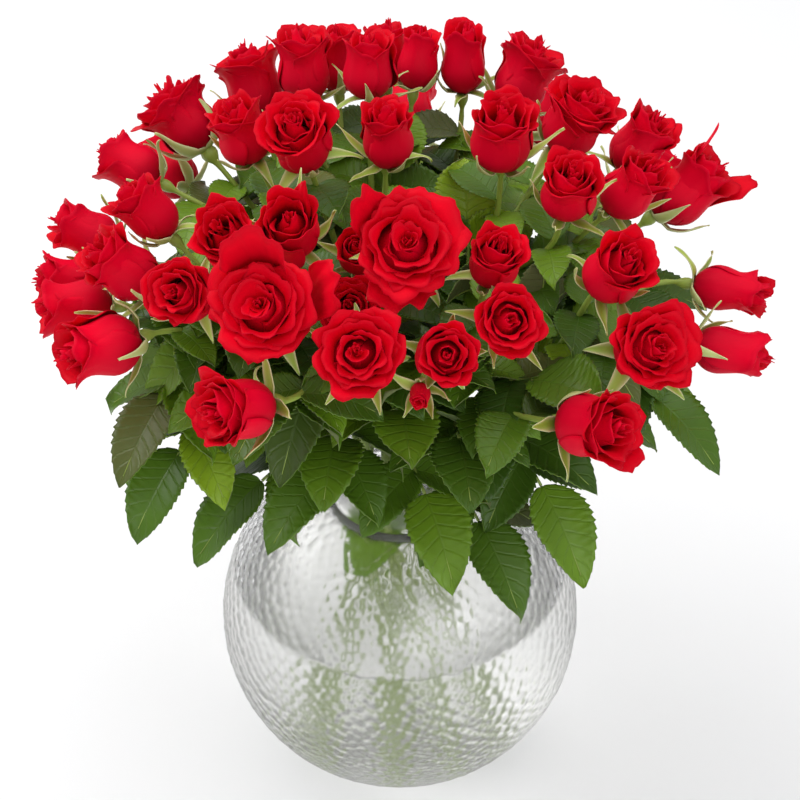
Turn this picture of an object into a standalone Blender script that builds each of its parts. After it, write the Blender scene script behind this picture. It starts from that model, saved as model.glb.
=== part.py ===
"""A round bouquet of red spray roses standing in a ball-shaped glass vase of water.

Metres, +Z up. The origin is the centre of the vase's foot, on the table. The bouquet's front is at -Y.
Eleven cut sprays stand in the vase. Each is one stem that grew with its flower stalks, sepals and leaves, and
it carries its own blooms. The stems cross the vase in a slow spiral, pass the neck side by side, and then fan
out into a low dome of blooms.
"""

from collections import namedtuple
from math import acos, asin, cos, pi, radians, sin, sqrt

import bmesh
import bpy
from mathutils import Matrix, Vector
from mathutils.bvhtree import BVHTree

# Vase
VASE_RADIUS = 0.100
VASE_WALL = 0.004
VASE_BASE = 0.010
FOOT_RADIUS = 0.042
NECK_RADIUS = 0.034
NECK_LENGTH = 0.030
LIP_FLARE = 0.005
VASE_SIDES = 32

# Water
WATER_LEVEL = 0.128
GAP = 0.0004

# Stems
STEM_RADIUS = 0.0027
STALK_RADIUS = 0.0016
HIP_RADIUS = 0.0042
HIP_LENGTH = 0.009
SEPAL_LENGTH = 0.017
SPIRAL_TURN = radians(85)
SPIRAL_SPREAD = 1.75
BRANCH_AT = 0.46
CROWN_LIFT = 0.012

# Dome that the middles of the blooms lie on
DOME_BASE = 0.300
DOME_RADIUS = 0.165
DOME_HEIGHT = 0.110
BLOOM_SPACING = 0.001

# Leaves
LEAFLET_LENGTH = 0.046
LEAFLET_WIDTH = 0.031
LEAF_THICKNESS = 0.0010
RACHIS_RADIUS = 0.0009
RACHIS_LENGTH = 0.056
LEAF_DROOP = 0.35
CLEARANCE = 0.0012

# A straight way is left open down the middle, to top up the water: its half width
SPOUT_REACH = 0.0034

# Each spray: the direction of its slot in the neck, whether that is in the outer ring, its blooms and leaves.
# A bloom is placed by its azimuth and its polar angle on the dome, measured from the top. It opens towards
# its own azimuth and lean. Angles are in degrees. It is so many millimetres across and tall, and some are
# sunk below the dome, behind their neighbours.
# A leaf leaves the stem at a share of its length above the neck, and heads so far to the left or right of
# the spray's direction, at a slope above the horizon. It has 3 or 5 leaflets.
Bloom = namedtuple("Bloom", "azimuth polar facing lean across tall sunk", defaults=[0])
Leaf = namedtuple("Leaf", "along heading slope leaflets")
Spray = namedtuple("Spray", "place slot outer blooms leaves")

INNER_LEAVES = [
    Leaf(0.62, 60, 40, 3), Leaf(0.72, 165, 45, 3), Leaf(0.82, -60, 45, 3), Leaf(0.90, 15, 50, 3), Leaf(0.98, 95, 60, 3),
]
OUTER_LEAVES = [Leaf(0.34, 38, 14, 5), Leaf(0.58, -45, 24, 5), Leaf(0.80, 25, 42, 3), Leaf(0.98, -25, 58, 3)]

SPRAYS = [
    Spray("front", 266, True, [
        Bloom(-81, 51, -90, 50, 27, 31),
        Bloom(-100, 50, -92, 45, 41, 36),
        Bloom(-104, 37, -100, 48, 29, 28, 28),
        Bloom(-85, 32, -88, 42, 51, 36),
        Bloom(-108, 26, -95, 42, 19, 28, 26),
    ], [Leaf(0.42, 22, 12, 3), Leaf(0.50, -32, 16, 3), Leaf(0.80, 10, 42, 3), Leaf(0.98, -45, 50, 3)]),
    Spray("front_right", 306, True, [
        Bloom(-57, 72, -45, 65, 36, 38),
        Bloom(-67, 46, -85, 50, 31, 32),
        Bloom(-69, 34, -70, 25, 26, 31),
    ], [Leaf(0.20, -8, 2, 3), Leaf(0.48, 18, 12, 5), Leaf(0.70, -30, 34, 3), Leaf(0.98, 15, 45, 3)]),
    Spray("right", 346, True, [
        Bloom(-2, 81, -20, 85, 23, 37),
        Bloom(-12, 90, -15, 90, 24, 37),
        Bloom(-41, 63, -70, 50, 43, 36),
        Bloom(-36, 47, -60, 35, 30, 38),
    ], OUTER_LEAVES),
    Spray("right_back", 22, True, [
        Bloom(21, 51, 0, 30, 28, 36),
        Bloom(-7, 42, -20, 35, 28, 36),
        Bloom(18, 68, 5, 48, 34, 42),
        Bloom(36, 80, 35, 75, 34, 36),
    ], OUTER_LEAVES),
    Spray("back_right", 56, True, [
        Bloom(87, 42, 60, 15, 21, 32),
        Bloom(79, 42, 80, 8, 23, 37),
        Bloom(57, 46, 30, 30, 38, 38),
        Bloom(62, 74, 62, 70, 38, 36),
        Bloom(88, 80, 88, 76, 30, 36),
    ], OUTER_LEAVES),
    Spray("back", 90, True, [
        Bloom(102, 26, 90, 5, 26, 34),
        Bloom(93, 43, 90, 10, 24, 34),
        Bloom(106, 43, 100, 12, 28, 34),
        Bloom(114, 42, 110, 12, 32, 38),
    ], OUTER_LEAVES),
    Spray("back_left", 132, True, [
        Bloom(127, 48, 130, 25, 38, 38),
        Bloom(143, 55, 150, 45, 44, 38),
        Bloom(157, 62, 165, 65, 28, 34),
        Bloom(140, 82, 140, 78, 32, 36),
        Bloom(113, 76, 113, 70, 38, 36),
    ], OUTER_LEAVES),
    Spray("left", 184, True, [
        Bloom(193, 75, 195, 80, 28, 36),
        Bloom(178, 79, 190, 75, 29, 34),
        Bloom(174, 76, 175, 60, 26, 34),
        Bloom(208, 72, 215, 80, 31, 40),
        Bloom(194, 49, 170, 40, 28, 32),
        Bloom(199, 54, 190, 45, 31, 37),
    ], [Leaf(0.38, 12, 8, 5), Leaf(0.55, -40, 18, 5), Leaf(0.72, 25, 22, 3), Leaf(0.98, -10, 50, 3)]),
    Spray("front_left", 226, True, [
        Bloom(-118, 65, -140, 70, 36, 36),
        Bloom(-120, 41, -105, 45, 50, 36),
        Bloom(-126, 37, -95, 35, 28, 38, 6),
        Bloom(-139, 39, -110, 35, 31, 34, 6),
        Bloom(222, 46, 250, 50, 32, 34),
    ], [Leaf(0.40, -12, 10, 5), Leaf(0.54, 38, 18, 5), Leaf(0.75, -30, 34, 3), Leaf(0.98, 20, 50, 3)]),
    Spray("top_left", 180, False, [
        Bloom(172, 27, 190, 20, 29, 34),
        Bloom(188, 17, 255, 30, 36, 39),
        Bloom(113, 7, -90, 10, 26, 34, 17),
    ], INNER_LEAVES),
    Spray("top_right", 0, False, [
        Bloom(-5, 17, -90, 14, 31, 39),
        Bloom(-24, 31, -75, 20, 28, 34),
        Bloom(19, 33, -15, 25, 42, 37),
    ], INNER_LEAVES),
]

VASE_MIDDLE = sqrt(VASE_RADIUS**2 - FOOT_RADIUS**2)
NECK_BOTTOM = VASE_MIDDLE + sqrt(VASE_RADIUS**2 - NECK_RADIUS**2)
RIM_HEIGHT = NECK_BOTTOM + NECK_LENGTH
CAVITY_RADIUS = VASE_RADIUS - VASE_WALL
BORE_RADIUS = NECK_RADIUS - VASE_WALL
OUTER_RING = BORE_RADIUS * 0.75
INNER_RING = BORE_RADIUS * 0.27
STEM_FOOT = VASE_BASE + GAP + STEM_RADIUS * 0.6


def clear_scene():
    for obj in list(bpy.data.objects):
        bpy.data.objects.remove(obj)


def new_collection(name, hidden=False):
    collection = bpy.data.collections.new(name)
    collection.hide_render = hidden
    bpy.context.scene.collection.children.link(collection)
    return collection


def new_material(name, colour, roughness, alpha=1.0):
    material = bpy.data.materials.new(name)
    material.use_nodes = True
    shader = material.node_tree.nodes["Principled BSDF"]
    shader.inputs["Base Color"].default_value = (*colour, 1.0)
    shader.inputs["Roughness"].default_value = roughness
    shader.inputs["Alpha"].default_value = alpha
    return material


def put(name, mesh, collection, material=None):
    """An object in a collection. Without a material it is a cutter or a piece to join, so it isn't rendered."""
    obj = bpy.data.objects.new(name, mesh)
    collection.objects.link(obj)
    if material:
        mesh.materials.append(material)
    else:
        obj.hide_render = True
        obj.display_type = "WIRE"
    return obj


def heading(azimuth, polar):
    """The unit vector at an azimuth, with its polar angle from straight up, both in degrees."""
    turn, tilt = radians(azimuth), radians(polar)
    return Vector((cos(turn) * sin(tilt), sin(turn) * sin(tilt), cos(tilt)))


def smooth_line(start, start_way, end, end_way, steps, reach=0.38):
    """Points of a curve that leaves start along one way and reaches end along another."""
    pull = (end - start).length * reach
    first, second = start + start_way.normalized() * pull, end - end_way.normalized() * pull
    line = []
    for i in range(steps + 1):
        share = i / steps
        rest = 1 - share
        line.append(start * rest**3 + first * 3 * rest**2 * share + second * 3 * rest * share**2 + end * share**3)
    return line


def mesh_of(curve_object):
    """A mesh of a bevelled curve with its caps welded on. The curve is removed."""
    graph = bpy.context.evaluated_depsgraph_get()
    mesh = bpy.data.meshes.new_from_object(curve_object.evaluated_get(graph))
    bpy.data.objects.remove(curve_object)
    solid = bmesh.new()
    solid.from_mesh(mesh)
    bmesh.ops.remove_doubles(solid, verts=solid.verts, dist=1e-6)
    bmesh.ops.recalc_face_normals(solid, faces=solid.faces)
    solid.to_mesh(mesh)
    solid.free()
    return mesh


def tube(points, radii, bevel_resolution=1):
    """A round stem through the points, with a radius at each and closed ends, as a mesh."""
    curve = bpy.data.curves.new("tube", "CURVE")
    curve.dimensions = "3D"
    curve.bevel_depth = 1.0
    curve.bevel_resolution = bevel_resolution
    curve.use_fill_caps = True
    spline = curve.splines.new("POLY")
    spline.points.add(len(points) - 1)
    for place, point, radius in zip(spline.points, points, radii):
        place.co = (*point, 1.0)
        place.radius = radius
    obj = bpy.data.objects.new("tube", curve)
    bpy.context.scene.collection.objects.link(obj)
    return mesh_of(obj)


def turned(name, profile, sides, collection, material):
    """A solid turned about +Z from a profile of (radius, height) points, which runs down its outer side."""
    mesh = bpy.data.meshes.new(name)
    points = [(radius, 0.0, height) for radius, height in profile]
    mesh.from_pydata(points, [(i, i + 1) for i in range(len(points) - 1)], [])
    obj = put(name, mesh, collection, material)
    screw = obj.modifiers.new("turn", "SCREW")
    screw.steps = screw.render_steps = sides
    screw.use_merge_vertices = True
    screw.merge_threshold = 1e-5
    return obj


def arc(radius, from_angle, to_angle, steps):
    """Points of (radius, height) on a ball about the vase's middle, between two angles above its equator."""
    angles = [from_angle + (to_angle - from_angle) * i / steps for i in range(steps + 1)]
    return [(radius * cos(angle), VASE_MIDDLE + radius * sin(angle)) for angle in angles]


def cavity():
    """The inside of the ball from its floor to the neck, as points of (radius, height)."""
    low = asin((VASE_BASE - VASE_MIDDLE) / CAVITY_RADIUS)
    return arc(CAVITY_RADIUS, low, acos(BORE_RADIUS / CAVITY_RADIUS), 8)


def make_vase(collection):
    """A blown ball with a flat foot, a short straight neck and a lip that flares a little."""
    lip = [
        (BORE_RADIUS, NECK_BOTTOM + NECK_LENGTH * 0.5),
        (BORE_RADIUS + LIP_FLARE, RIM_HEIGHT - VASE_WALL * 0.3),
        (BORE_RADIUS + LIP_FLARE + VASE_WALL * 0.5, RIM_HEIGHT),
        (NECK_RADIUS + LIP_FLARE, RIM_HEIGHT - VASE_WALL * 0.3),
        (NECK_RADIUS, NECK_BOTTOM + NECK_LENGTH * 0.45),
    ]
    outside = arc(VASE_RADIUS, acos(NECK_RADIUS / VASE_RADIUS), -acos(FOOT_RADIUS / VASE_RADIUS), 10)
    profile = [(0.0, VASE_BASE), *cavity(), *lip, *outside, (0.0, 0.0)]
    glass = new_material("clear glass", (0.93, 0.95, 0.95), 0.05, alpha=0.35)
    return turned("vase", profile, VASE_SIDES, collection, glass)


def make_water(collection, drills):
    """The water in the ball, with a hole for each stem that stands in it."""
    shrink = 1 - GAP / CAVITY_RADIUS
    walls = [(radius * shrink, VASE_MIDDLE + (height - VASE_MIDDLE) * shrink) for radius, height in cavity()]
    wet = [point for point in walls if point[1] < WATER_LEVEL]
    (low_radius, low_height), (radius, height) = wet[-1], walls[len(wet)]
    edge = low_radius + (radius - low_radius) * (WATER_LEVEL - low_height) / (height - low_height)
    profile = [(0.0, WATER_LEVEL), (edge, WATER_LEVEL), *reversed(wet), (0.0, wet[0][1])]
    clear = new_material("water", (0.90, 0.95, 0.93), 0.02, 0.3)
    water = turned("water", profile, VASE_SIDES, collection, clear)
    cut = water.modifiers.new("stem holes", "BOOLEAN")
    cut.operation = "DIFFERENCE"
    cut.operand_type = "COLLECTION"
    cut.collection = drills


def bloom_mesh(bloom):
    """A bloom with its seat at the origin, opening along +Z.

    A cup grows out of the narrow seat. Its rim has five petal points, and inside it stands the rolled heart,
    which fills more of a bud than of an open bloom.
    """
    half, tall = bloom.across / 2000, bloom.tall / 1000
    openness = min(1.0, max(0.0, (bloom.across / bloom.tall - 0.6) / 0.7))
    rim = 0.80 + 0.16 * openness
    heart = 0.42 - 0.06 * openness
    levels = [
        (0.0, HIP_RADIUS * 0.85, 0.0),
        (tall * 0.13, half * 0.58, 0.0),
        (tall * 0.48, half * 0.97, 0.0),
        (tall * 0.84, half * rim, 0.06),
        (tall * 0.80, half * (heart + 0.12), 0.0),
        (tall, half * heart, 0.0),
    ]
    solid = bmesh.new()
    rings = []
    for height, radius, points in levels:
        ring = []
        for i in range(10):
            out = radius * (1 + (points if i % 2 else -points))
            up = height + (points if i % 2 else -points) * tall
            ring.append(solid.verts.new((out * cos(pi * i / 5), out * sin(pi * i / 5), up)))
        for i in range(10 if rings else 0):
            after = (i + 1) % 10
            solid.faces.new((rings[-1][i], rings[-1][after], ring[after], ring[i]))
        rings.append(ring)
    solid.faces.new(rings[-1])
    solid.faces.new(reversed(rings[0]))
    mesh = bpy.data.meshes.new("bloom")
    solid.to_mesh(mesh)
    solid.free()
    return mesh


def balls_of(middle, bloom):
    """Three balls that fill a bloom, as (centre, radius), for keeping blooms apart."""
    axis = heading(bloom.facing, bloom.lean)
    across, tall = bloom.across / 1000, bloom.tall / 1000
    return [(middle + axis * (share - 0.5) * tall, radius * across)
            for share, radius in ((0.22, 0.40), (0.50, 0.51), (0.78, 0.50))]


def settle(blooms):
    """The middles of the blooms, moved apart just enough that none touches another."""
    middles = []
    for bloom in blooms:
        out = heading(bloom.azimuth, bloom.polar)
        on_dome = Vector((out.x * DOME_RADIUS, out.y * DOME_RADIUS, DOME_BASE + out.z * DOME_HEIGHT))
        middles.append(on_dome - out * bloom.sunk / 1000)
    for _ in range(60):
        moved = False
        for i, first in enumerate(blooms):
            for j in range(i):
                if (middles[i] - middles[j]).length > 0.08:
                    continue
                worst, push = 0.0, None
                for centre, radius in balls_of(middles[i], first):
                    for other, other_radius in balls_of(middles[j], blooms[j]):
                        overlap = radius + other_radius + BLOOM_SPACING - (centre - other).length
                        if overlap > worst:
                            worst, push = overlap, (centre - other).normalized()
                if push:
                    middles[i] += push * worst / 2
                    middles[j] -= push * worst / 2
                    moved = True
        if not moved:
            break
    return middles


def ring_point(spray, height):
    """Where a spray's stem is in the vase: a spiral that widens and turns below the rim."""
    share = (RIM_HEIGHT - height) / (RIM_HEIGHT - STEM_FOOT)
    ring = OUTER_RING if spray.outer else INNER_RING
    slot = Vector((cos(radians(spray.slot)), sin(radians(spray.slot)))) * ring
    foot = Matrix.Rotation(SPIRAL_TURN, 2) @ slot * SPIRAL_SPREAD
    return Vector((*slot.lerp(foot, share), height))


def stem_line(spray, seats):
    """The main stem above the rim, up to the crown, where its stalks part."""
    neck = ring_point(spray, RIM_HEIGHT)
    rising = neck - ring_point(spray, STEM_FOOT)
    middle = sum(seats, Vector()) / len(seats)
    crown = neck.lerp(middle, BRANCH_AT) + Vector((0, 0, CROWN_LIFT))
    return smooth_line(neck, rising, crown, middle - crown, 5)


def at_share(line, share):
    """The point at a share of a line, and the line's way there."""
    place = share * (len(line) - 1)
    step = min(int(place), len(line) - 2)
    return line[step].lerp(line[step + 1], place - step), (line[step + 1] - line[step]).normalized()


def joined(solids):
    points, faces = [], []
    for some, these in solids:
        faces += [[index + len(points) for index in face] for face in these]
        points += some
    return points, faces


def tree_of(solids):
    """One search tree of several (points, faces) solids."""
    return BVHTree.FromPolygons(*joined(solids))


def solid_of(mesh, place=Matrix()):
    return [place @ vert.co for vert in mesh.vertices], [list(face.vertices) for face in mesh.polygons]


def sheath(line, radius):
    """A square tube about a line, as a (points, faces) solid: the room that a thin stalk takes up."""
    points, faces = [], []
    for i, point in enumerate(line):
        way = line[min(i + 1, len(line) - 1)] - line[max(i - 1, 0)]
        side = way.orthogonal().normalized()
        up = side.cross(way).normalized()
        points += [point + (side * cos(turn) + up * sin(turn)) * radius for turn in (0, pi / 2, pi, 3 * pi / 2)]
        if i:
            corner = i * 4
            faces += [[corner + k - 4, corner + (k + 1) % 4 - 4, corner + (k + 1) % 4, corner + k] for k in range(4)]
    return points, faces


def touches(tree, obstacles, but_not=()):
    return any(tree.overlap(other) for owner, other in obstacles if owner not in but_not)


def stalk_line(stem, start, seat, axis, obstacles, spray):
    """A flower stalk from the stem to its bloom, bowed as little as keeps it clear of everything else."""
    base, way = at_share(stem, start)
    root = seat - axis * HIP_LENGTH
    side = axis.cross(root - base).normalized()
    way = way + (root - base).normalized() * 0.6
    for bow in (0, 0.15, -0.15, 0.3, -0.3, 0.45, -0.45, 0.6, -0.6):
        for reach in (0.38, 0.26, 0.5, 0.62):
            line = smooth_line(base, way + side * bow * 2, root, axis - side * bow * 0.3, 4, reach)
            if not touches(tree_of([sheath(line, (STALK_RADIUS + CLEARANCE) * 1.3)]), obstacles, (spray.place,)):
                return line
    print("no clear way for a stalk of", spray.place)
    return smooth_line(base, way, root, axis, 4)


def stalk_mesh(line, seat, axis):
    """A stalk and the hip that it swells into under the bloom."""
    swell = [seat - axis * HIP_LENGTH * 0.5, seat - axis * GAP]
    radii = [STEM_RADIUS * 0.75] + [STALK_RADIUS] * (len(line) - 1) + [HIP_RADIUS * 0.92, HIP_RADIUS]
    return tube(line + swell, radii)


def sepals(seat, axis, obstacles):
    """The five sepals that turn back from under a bloom, as one thin star. It is turned to clear the rest."""
    side = axis.orthogonal().normalized()
    ahead = axis.cross(side)
    for size in (1.0, 0.8, 0.6, 0.45):
        for turn in range(0, 72, 12):
            points = [seat - axis * 0.0012, seat - axis * 0.0034]
            for i in range(10):
                angle = radians(turn + 36 * i)
                out = HIP_RADIUS * 0.75 if i % 2 else SEPAL_LENGTH * size
                down = 0.0022 if i % 2 else 0.0022 + 0.28 * SEPAL_LENGTH * size
                points.append(seat + (side * cos(angle) + ahead * sin(angle)) * out - axis * down)
            faces = []
            for i in range(10):
                here, after = 2 + i, 2 + (i + 1) % 10
                faces += [[0, here, after], [1, after, here]]
            if not touches(tree_of([(points, faces)]), obstacles):
                return points, faces
    return None


def leaflet(base, way, up, length, width, thickness):
    """A pointed leaflet with a shallow fold along its midrib, as a (points, faces) solid."""
    side = way.cross(up).normalized()
    over = side.cross(way).normalized()
    points = [base]
    for share in (0.28, 0.66):
        sag = Vector((0, 0, LEAF_DROOP * length * share**2))
        half = width * (0.46 if share < 0.5 else 0.42)
        middle = base + way * share * length - sag
        lift = over * width * 0.10
        points += [middle + side * half + lift, middle + over * thickness / 2,
                   middle - side * half + lift, middle - over * thickness / 2]
    points.append(base + way * length - Vector((0, 0, LEAF_DROOP * length)))
    faces = []
    for k in range(4):
        after = (k + 1) % 4
        faces += [[0, 1 + k, 1 + after], [1 + k, 5 + k, 5 + after, 1 + after], [9, 5 + after, 5 + k]]
    return points, faces


def leaf_parts(base, way, leaflets, size, thickness):
    """One compound leaf as its rachis line and its leaflets."""
    length = RACHIS_LENGTH * size
    rachis = [base + way * length * s - Vector((0, 0, LEAF_DROOP * length * s**2 * 0.6)) for s in (0, 0.35, 0.7, 1.0)]
    end_way = (rachis[3] - rachis[2]).normalized()
    side = end_way.cross(Vector((0, 0, 1))).normalized()
    up = side.cross(end_way)
    blades = [(rachis[3], end_way, 1.0)]
    for at, share in ((2, 0.85), (1, 0.65))[: (leaflets - 1) // 2]:
        for hand in (1, -1):
            blades.append((rachis[at], (end_way * 0.5 + side * hand * 0.87).normalized(), share))
    solids = [leaflet(place - aim * 0.0006, aim, up, LEAFLET_LENGTH * size * share,
                      LEAFLET_WIDTH * size * share, thickness) for place, aim, share in blades]
    return rachis, solids


def leaf_in_the_clear(line, spray, leaf, obstacles):
    """The leaf's parts at the first size and heading near the wanted ones where it touches nothing else."""
    base, _ = at_share(line, leaf.along)
    for size in (1.0, 0.85, 0.7, 0.55, 0.42):
        for turn in (0, 14, -14, 28, -28, 42, -42, 60, -60, 80, -80):
            for tip in (0, 15, -15, 30, -30):
                way = heading(spray.slot + leaf.heading + turn, 90 - leaf.slope - tip)
                rachis, blades = leaf_parts(base, way, leaf.leaflets, size, LEAF_THICKNESS + 2 * CLEARANCE)
                if touches(tree_of([sheath(rachis, RACHIS_RADIUS + CLEARANCE)]), obstacles, (spray.place,)):
                    continue
                if not touches(tree_of(blades), obstacles):
                    return leaf_parts(base, way, leaf.leaflets, size, LEAF_THICKNESS)
    print("no room for a leaf of", spray.place)
    return None


def main():
    clear_scene()
    bouquet = new_collection("roses in a vase")
    drills = new_collection("drills", hidden=True)
    petals = new_material("red petals", (0.62, 0.004, 0.02), 0.55)
    greens = new_material("green stems", (0.14, 0.26, 0.05), 0.5)
    vase = make_vase(bouquet)
    obstacles = [("vase", BVHTree.FromObject(vase, bpy.context.evaluated_depsgraph_get()))]
    spout = [Vector((0, 0, RIM_HEIGHT)), Vector((0, 0, DOME_BASE + DOME_HEIGHT * 2))]
    obstacles.append(("spout", tree_of([sheath(spout, SPOUT_REACH * sqrt(2))])))

    middles = iter(settle([bloom for spray in SPRAYS for bloom in spray.blooms]))
    grown = []
    for spray in SPRAYS:
        seats, axes = [], []
        for number, bloom in enumerate(spray.blooms, 1):
            axis = heading(bloom.facing, bloom.lean)
            seat = next(middles) - axis * bloom.tall / 2000
            place = Matrix.Translation(seat) @ axis.to_track_quat("Z", "X").to_matrix().to_4x4()
            mesh = bloom_mesh(bloom)
            put(f"bloom_{spray.place}_{number}", mesh, bouquet, petals).matrix_world = place
            obstacles.append(("bloom", tree_of([solid_of(mesh, place)])))
            seats.append(seat)
            axes.append(axis)
        line = stem_line(spray, seats)
        foot = ring_point(spray, STEM_FOOT)
        stem = tube([foot] + line, [STEM_RADIUS] * len(line) + [STEM_RADIUS * 0.85])
        past = (line[0] - foot) * 0.2
        put("drill", tube([foot - past, line[0]], [STEM_RADIUS + GAP] * 2), drills)
        obstacles.append((spray.place, tree_of([solid_of(stem)])))
        grown.append((spray, line, stem, seats, axes))

    joins = []
    for spray, line, stem, seats, axes in grown:
        pieces = new_collection(f"pieces of {spray.place}", hidden=True)
        joins.append((spray, stem, pieces))
        order = sorted(range(len(seats)), key=lambda i: (seats[i] - line[-1]).length, reverse=True)
        for rank, i in enumerate(order):
            start = 0.98 - 0.36 * rank / len(seats)
            mesh = stalk_mesh(stalk_line(line, start, seats[i], axes[i], obstacles, spray), seats[i], axes[i])
            put("stalk", mesh, pieces)
            obstacles.append((spray.place, tree_of([solid_of(mesh)])))

    for (spray, line, stem, seats, axes), (_, _, pieces) in zip(grown, joins):
        for seat, axis in zip(seats, axes):
            star = sepals(seat, axis, [entry for entry in obstacles if entry[0] != spray.place])
            if star:
                mesh = bpy.data.meshes.new("sepals")
                mesh.from_pydata(star[0], [], star[1])
                put("sepals", mesh, pieces)
                obstacles.append((spray.place, tree_of([star])))
        for leaf in spray.leaves:
            parts = leaf_in_the_clear(line, spray, leaf, obstacles)
            if parts is None:
                continue
            rachis, blades = parts
            put("rachis", tube(rachis, [RACHIS_RADIUS * 1.4] + [RACHIS_RADIUS] * 3, 0), pieces)
            for points, faces in blades:
                mesh = bpy.data.meshes.new("leaflet")
                mesh.from_pydata(points, [], faces)
                put("leaflet", mesh, pieces)
            obstacles.append((spray.place, tree_of(blades + [sheath(rachis, RACHIS_RADIUS)])))

    make_water(bouquet, drills)
    for spray, stem, pieces in joins:
        join = put(f"stem_{spray.place}", stem, bouquet, greens).modifiers.new("grown together", "BOOLEAN")
        join.operation = "UNION"
        join.operand_type = "COLLECTION"
        join.collection = pieces


main()
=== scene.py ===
from math import acos, cos, pi, radians, sin, sqrt

import bpy
import numpy as np
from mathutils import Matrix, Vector
from mathutils.bvhtree import BVHTree
from mathutils.kdtree import KDTree


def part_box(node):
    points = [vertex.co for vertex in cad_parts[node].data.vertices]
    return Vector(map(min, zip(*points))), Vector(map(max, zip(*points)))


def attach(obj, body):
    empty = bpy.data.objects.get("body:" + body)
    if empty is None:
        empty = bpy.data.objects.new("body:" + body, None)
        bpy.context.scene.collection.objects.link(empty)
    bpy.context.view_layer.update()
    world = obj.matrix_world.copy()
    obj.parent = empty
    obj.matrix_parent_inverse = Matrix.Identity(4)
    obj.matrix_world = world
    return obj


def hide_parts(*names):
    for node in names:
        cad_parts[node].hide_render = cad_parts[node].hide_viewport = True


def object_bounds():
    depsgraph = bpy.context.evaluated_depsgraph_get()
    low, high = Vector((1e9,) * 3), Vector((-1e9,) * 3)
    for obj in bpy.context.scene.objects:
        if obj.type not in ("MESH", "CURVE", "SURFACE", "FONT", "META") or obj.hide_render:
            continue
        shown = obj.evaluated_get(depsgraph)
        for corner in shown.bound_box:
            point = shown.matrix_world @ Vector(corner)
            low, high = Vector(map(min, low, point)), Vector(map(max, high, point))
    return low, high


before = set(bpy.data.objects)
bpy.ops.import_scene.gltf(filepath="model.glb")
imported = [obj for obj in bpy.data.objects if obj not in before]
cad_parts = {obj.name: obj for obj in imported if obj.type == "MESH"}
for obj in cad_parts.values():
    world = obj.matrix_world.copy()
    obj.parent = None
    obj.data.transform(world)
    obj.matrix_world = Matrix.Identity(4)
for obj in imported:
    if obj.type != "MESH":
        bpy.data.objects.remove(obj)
cad_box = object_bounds()


# The vase. A ball of clear glass, blown into a hammered mould, so that its outside is covered with shallow
# dimples that meet in soft ridges. It has a pushed-up foot, a short neck and a lip that flares a little.
HAMMER_PITCH = 0.0062
HAMMER_DEPTH = 0.00085
VASE_SIDES = 384

shell = np.array([v.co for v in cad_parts["vase"].data.vertices])
shell_across = np.hypot(shell[:, 0], shell[:, 1])
ball = shell_across.max()
foot = shell_across[shell[:, 2] < 0.0005].max()
middle = sqrt(ball**2 - foot**2)
rim = shell[:, 2].max()
bore, neck = np.unique(np.round(shell_across[shell[:, 2] > rim * 0.84], 4))[:2]
lip = shell_across[shell[:, 2] > rim - 0.002].max()
wall = neck - bore


def new_material(name):
    """A node material, with its nodes, its links and its shader."""
    material = bpy.data.materials.new(name)
    material.use_nodes = True
    tree = material.node_tree
    return material, tree.nodes, tree.links, tree.nodes["Principled BSDF"]


def place_piece(name, mesh, material, slot, *stands_for):
    """A piece that rides on the part, in the given material. Its slot is not used."""
    mesh.materials.append(material)
    piece = bpy.data.objects.new(name, mesh)
    bpy.context.scene.collection.objects.link(piece)
    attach(piece, "root")
    if stands_for:
        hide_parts(*stands_for)
    return piece


def mesh_of(name, points, faces, attribute=None, values=None):
    """A smooth mesh, with an attribute that its material reads."""
    mesh = bpy.data.meshes.new(name)
    mesh.from_pydata(points, [], faces)
    mesh.shade_smooth()
    if attribute:
        mesh.attributes.new(attribute, "FLOAT_VECTOR", "POINT").data.foreach_set("vector", np.ravel(values))
    mesh.validate()
    return mesh


def turned(profile, sides):
    """Points and faces of a closed body turned about +Z. Its profile starts and ends on the axis."""
    turns = np.arange(sides) * 2 * pi / sides
    inner = np.array(profile[1:-1])
    points = np.empty((len(inner), sides, 3))
    points[:, :, 0] = inner[:, :1] * np.cos(turns)
    points[:, :, 1] = inner[:, :1] * np.sin(turns)
    points[:, :, 2] = inner[:, 1:]
    index = np.arange(len(inner) * sides).reshape(len(inner), sides)
    after = np.roll(index, -1, axis=1)
    quads = np.stack([index[:-1], after[:-1], after[1:], index[1:]], -1).reshape(-1, 4).tolist()
    low, high = len(inner) * sides, len(inner) * sides + 1
    quads += [[low, b, a] for a, b in zip(index[0], after[0])]
    quads += [[high, a, b] for a, b in zip(index[-1], after[-1])]
    ends = [(0, 0, profile[0][1]), (0, 0, profile[-1][1])]
    return np.vstack([points.reshape(-1, 3), ends]), quads


def smoothed(corners, count):
    """A profile through the corners, cut at their rounded places, as count evenly spaced points."""
    corners = np.array(corners, float)
    for _ in range(3):
        cut = [corners[:1]]
        for a, b in zip(corners[:-1], corners[1:]):
            cut += [[a * 0.75 + b * 0.25], [a * 0.25 + b * 0.75]]
        corners = np.vstack(cut + [corners[-1:]])
    steps = np.r_[0, np.cumsum(np.linalg.norm(np.diff(corners, axis=0), axis=1))]
    at = np.linspace(0, steps[-1], count)
    return np.stack([np.interp(at, steps, corners[:, 0]), np.interp(at, steps, corners[:, 1])], -1)


def ball_arc(radius, low_angle, high_angle, count):
    """Profile points on a ball about the vase's middle, between two angles above the horizontal."""
    angles = np.linspace(low_angle, high_angle, count)
    return np.stack([radius * np.cos(angles), middle + radius * np.sin(angles)], -1)


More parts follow.
